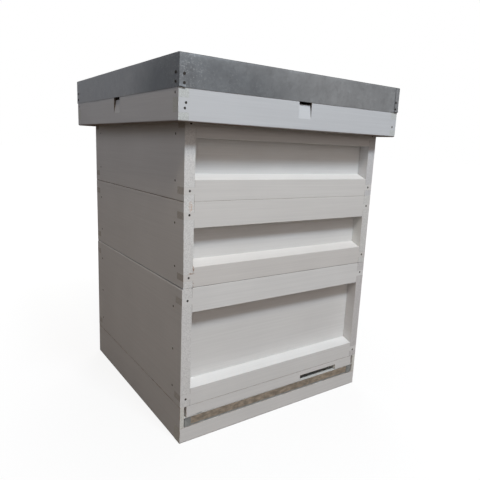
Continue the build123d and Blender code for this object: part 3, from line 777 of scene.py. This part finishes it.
def border(bm, outer, inner):
    """A flat frame of sheet between two upright boxes of the same height, with its edges eased."""
    rings = []
    for low, high in (outer, inner):
        for z in (low.z, high.z):
            square = ((low.x, low.y), (high.x, low.y), (high.x, high.y), (low.x, high.y))
            rings.append([bm.verts.new((x, y, z)) for x, y in square])
    outer_low, outer_high, inner_low, inner_high = rings
    made = []
    walls = ((outer_low, outer_high), (inner_low, inner_high))
    flats = ((outer_low, inner_low), (outer_high, inner_high))
    for a, b in walls + flats:
        for i in range(4):
            j = (i + 1) % 4
            made.append(bm.faces.new((a[i], a[j], b[j], b[i])))
    corners = dict.fromkeys(edge for face in made for edge in face.edges
                            if edge.calc_face_angle(0) > SHARP_FOLD)
    ease(bm, list(corners), BORDER_ARRIS)


def inspection_tray(material):
    """The tray with its front lip and corner tabs a little bent, as hand-folded sheet is."""
    bm = welded("inspection_tray")
    low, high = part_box("inspection_tray")
    cut_up(bm, Vector((1, 0, 0)), spread(low.x, high.x, LIP_STEP))
    cut_up(bm, Vector((0, 0, 1)), spread(low.z, high.z, LIP_HEIGHT_STEP))
    for vertex in bm.verts:
        in_lip = vertex.co.y < low.y + LIP_DEPTH
        if in_lip:
            rise = (vertex.co.z - low.z) / (high.z - low.z)
            along = Vector((vertex.co.x, 0, 0))
            vertex.co.y += LIP_WAVE * rise * (0.5 + noise.noise(along / LIP_BOW))
            vertex.co.z -= LIP_WAVE * rise ** 3 * (0.5 + noise.noise(along / LIP_RIPPLE))
    smooth(bm)
    stand_in("inspection_tray", bm, material, "bent")


def leaning_nails(node, material):
    """Nails that follow the lean of the board they're driven into."""
    bm = bmesh.new()
    bm.from_mesh(frame["nodes"][node].data)
    bmesh.ops.remove_doubles(bm, verts=bm.verts, dist=SAME_CORNER)
    pull_in(bm, *side_box("lower_super"))
    stand_in(node, bm, material, "driven")


def finish_kept(node, material):
    """A CAD node that keeps its shape and gets its finish."""
    materials = frame["nodes"][node].data.materials
    materials.clear()
    materials.append(material)


def finish_the_rest():
    pine_y = bare_pine("bare_pine_grain_y", GRAIN_Y)
    pine_x = bare_pine("bare_pine_grain_x", GRAIN_X)
    ply = plywood("crown_and_deck_plywood")
    front_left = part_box("roof_cover")[0]
    roof_steel = galvanised("galvanised_roof_steel", ZINC_DARK, ZINC_LIGHT,
                            reflection_shade_corner=tuple(front_left))
    plain_zinc = galvanised("plain_zinc_sheet", PLAIN_ZINC_DARK, PLAIN_ZINC_LIGHT, 160.0, 0.85)
    nails = nail_steel("nail_steel")
    wax = beeswax("foundation_wax")
    tray = tray_sheet("tray_sheet", *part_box("inspection_tray"))
    # pale and barely metallic: a painted sheen
    mesh_zinc = galvanised("mesh_zinc", MESH_ZINC_SHEEN_DARK, MESH_ZINC_SHEEN_LIGHT, 160.0, 0.1)
    leaning_nails("lower_super_nails", nails)
    finish_kept("brood_box_nails", nails)
    finish_kept("upper_super_nails", nails)
    for box in BOXES:
        finish_kept(f"{box}_frame_runners", plain_zinc)
    for frames in FRAME_SETS:
        finish_kept(f"{frames}_frames", pine_y)
        finish_kept(f"{frames}_lifting_frame", pine_y)
        finish_kept(f"{frames}_wax_sheets", wax)
        finish_kept(f"{frames}_lifting_frame_wax", wax)
    inspection_tray(tray)
    floor_mesh(mesh_zinc)
    finish_kept("queen_excluder", plain_zinc)
    finish_kept("crown_board_panel", ply)
    finish_kept("crown_board_edging", pine_x)
    finish_kept("roof_deck", ply)
    finish_kept("roof_battens", pine_y)
    roof_cover(roof_steel)
    finish_kept("roof_nails", nails)


# ---------------------------------------------------------------- stage, light and camera

CAMERA_PLACE = (-0.5853, -0.9120, 0.5414)
CAMERA_HEADING = 34.65              # degrees right of straight ahead (+Y)
CAMERA_TILT = -11.36                # degrees above the horizon
CAMERA_ROLL = 2.45
CAMERA_LENS = 34.81
LIGHT_DISTANCE = 2.6                # from the middle of the hive
LIGHT_SIZE = 0.45
FLOOR_SEEN = (0.12, 0.12, 0.12)
FLOOR_BOUNCE = (0.14, 0.105, 0.08)
FLOOR_SIZE = 60.0
FLOOR_GAP = 0.2 * MM                # between the floor and the hive's feet

# Glow of the walls round the hive: direction, sharpness, colour
ROOM = (
    ((-0.7, -0.7, 0.0), 3.0, (0.37, 0.37, 0.37)),
    ((0.0, -0.95, 0.31), 4.0, (0.64, 0.57, 0.54)),
    ((0.72, -0.69, 0.05), 18.0, (0.20, 0.20, 0.20)),
    ((-0.30, 0.95, 0.08), 16.0, (0.30, 0.31, 0.34)),
    ((0.65, 0.76, 0.00), 3.0, (0.70, 0.70, 0.70)),
)


def aimed(place, target):
    """Matrix of a light at place that looks at target."""
    turn = (Vector(target) - Vector(place)).to_track_quat("-Z", "Y")
    return Matrix.Translation(place) @ turn.to_matrix().to_4x4()


def soft_light(name, side, rise, power, colour, distance=LIGHT_DISTANCE, size=LIGHT_SIZE, mirrored=True):
    """A round soft box, side degrees right of the hive's front and rise degrees up.

    One that isn't mirrored lights the hive without glaring on its metal.
    """
    low, high = CAD_BOX
    centre = (low + high) / 2
    side, rise = math.radians(side), math.radians(rise)
    towards = Vector((math.sin(side) * math.cos(rise), -math.cos(side) * math.cos(rise), math.sin(rise)))
    data = bpy.data.lights.new(name, "AREA")
    data.shape = "DISK"
    data.size = size
    data.energy = power
    data.color = colour
    light = bpy.data.objects.new(name, data)
    light.matrix_world = aimed(centre + towards * distance, centre)
    light.visible_glossy = mirrored
    bpy.context.scene.collection.objects.link(light)


def set_lights():
    soft_light("front_soft_box", 0, 50, 31.5, (0.89, 1.01, 1.13))
    soft_light("left_soft_box", -24, 52, 12.0, (1.15, 0.97, 0.76))
    soft_light("near_left_soft_box", -90, 38, 1.0, (1.0, 1.0, 1.08), distance=1.3, size=0.6)
    soft_light("back_soft_box", 150, 38, 26.0, (1.0, 1.0, 1.0), size=1.6, mirrored=False)


def set_world():
    """White to the camera. For light it is a dim room with pale walls."""
    world = bpy.data.worlds.new("studio")
    world.use_nodes = True
    tree = world.node_tree
    tree.nodes.clear()
    add = partial(add_node, tree)
    direction = add("TexCoord", {}, "Generated")
    room = None
    for axis, sharpness, colour in ROOM:
        facing = add("VectorMath", {0: direction, 1: axis}, "Value", operation="DOT_PRODUCT")
        facing = add("Math", {0: facing, 1: 0.0}, operation="MAXIMUM")
        amount = add("Math", {0: facing, 1: sharpness}, operation="POWER")
        lobe = add("VectorMath", {0: colour, "Scale": amount}, operation="SCALE")
        room = lobe if room is None else add("VectorMath", {0: room, 1: lobe}, operation="ADD")
    seen = add("LightPath", {}, "Is Camera Ray")
    colour = add("Mix", {0: seen, 6: room, 7: (1, 1, 1)}, 2, data_type="RGBA")
    background = add("Background", {"Color": colour, "Strength": 1.0})
    output = tree.nodes.new("ShaderNodeOutputWorld")
    tree.links.new(background, output.inputs["Surface"])
    bpy.context.scene.world = world


def set_floor():
    """A plain pale floor: near white to the camera, and a dull warm one to the light it bounces."""
    recipe = Recipe("pale_floor")
    seen = recipe.add("LightPath", out="Is Camera Ray")
    colour = recipe.mix(seen, FLOOR_BOUNCE, FLOOR_SEEN)
    away = recipe.add("VectorMath", {0: recipe.place}, out="Value", operation="LENGTH")
    glow = recipe.remap(away, 0.3, 1.6, 0.88, 1.0)
    recipe.surface(colour, 0.9, **{"Emission Color": (1.0, 1.0, 1.0), "Specular IOR Level": 0.0,
                                   "Emission Strength": recipe.math("MULTIPLY", seen, glow)})
    bpy.ops.mesh.primitive_plane_add(size=FLOOR_SIZE, location=(0, 0, CAD_BOX[0].z - FLOOR_GAP))
    floor = bpy.context.object
    floor.name = "studio_floor"
    floor.data.materials.append(recipe.material)


def set_camera():
    data = bpy.data.cameras.new("camera")
    data.lens = CAMERA_LENS
    camera = bpy.data.objects.new("camera", data)
    heading = Matrix.Rotation(math.radians(-CAMERA_HEADING), 4, "Z")
    tilt = Matrix.Rotation(math.radians(90 + CAMERA_TILT), 4, "X")
    roll = Matrix.Rotation(math.radians(CAMERA_ROLL), 4, "Z")
    camera.matrix_world = Matrix.Translation(CAMERA_PLACE) @ heading @ tilt @ roll
    bpy.context.scene.collection.objects.link(camera)
    bpy.context.scene.camera = camera


paint_boards()
finish_the_rest()
set_floor()
set_world()
set_lights()
set_camera()
bpy.context.scene.view_settings.view_transform = "Standard"
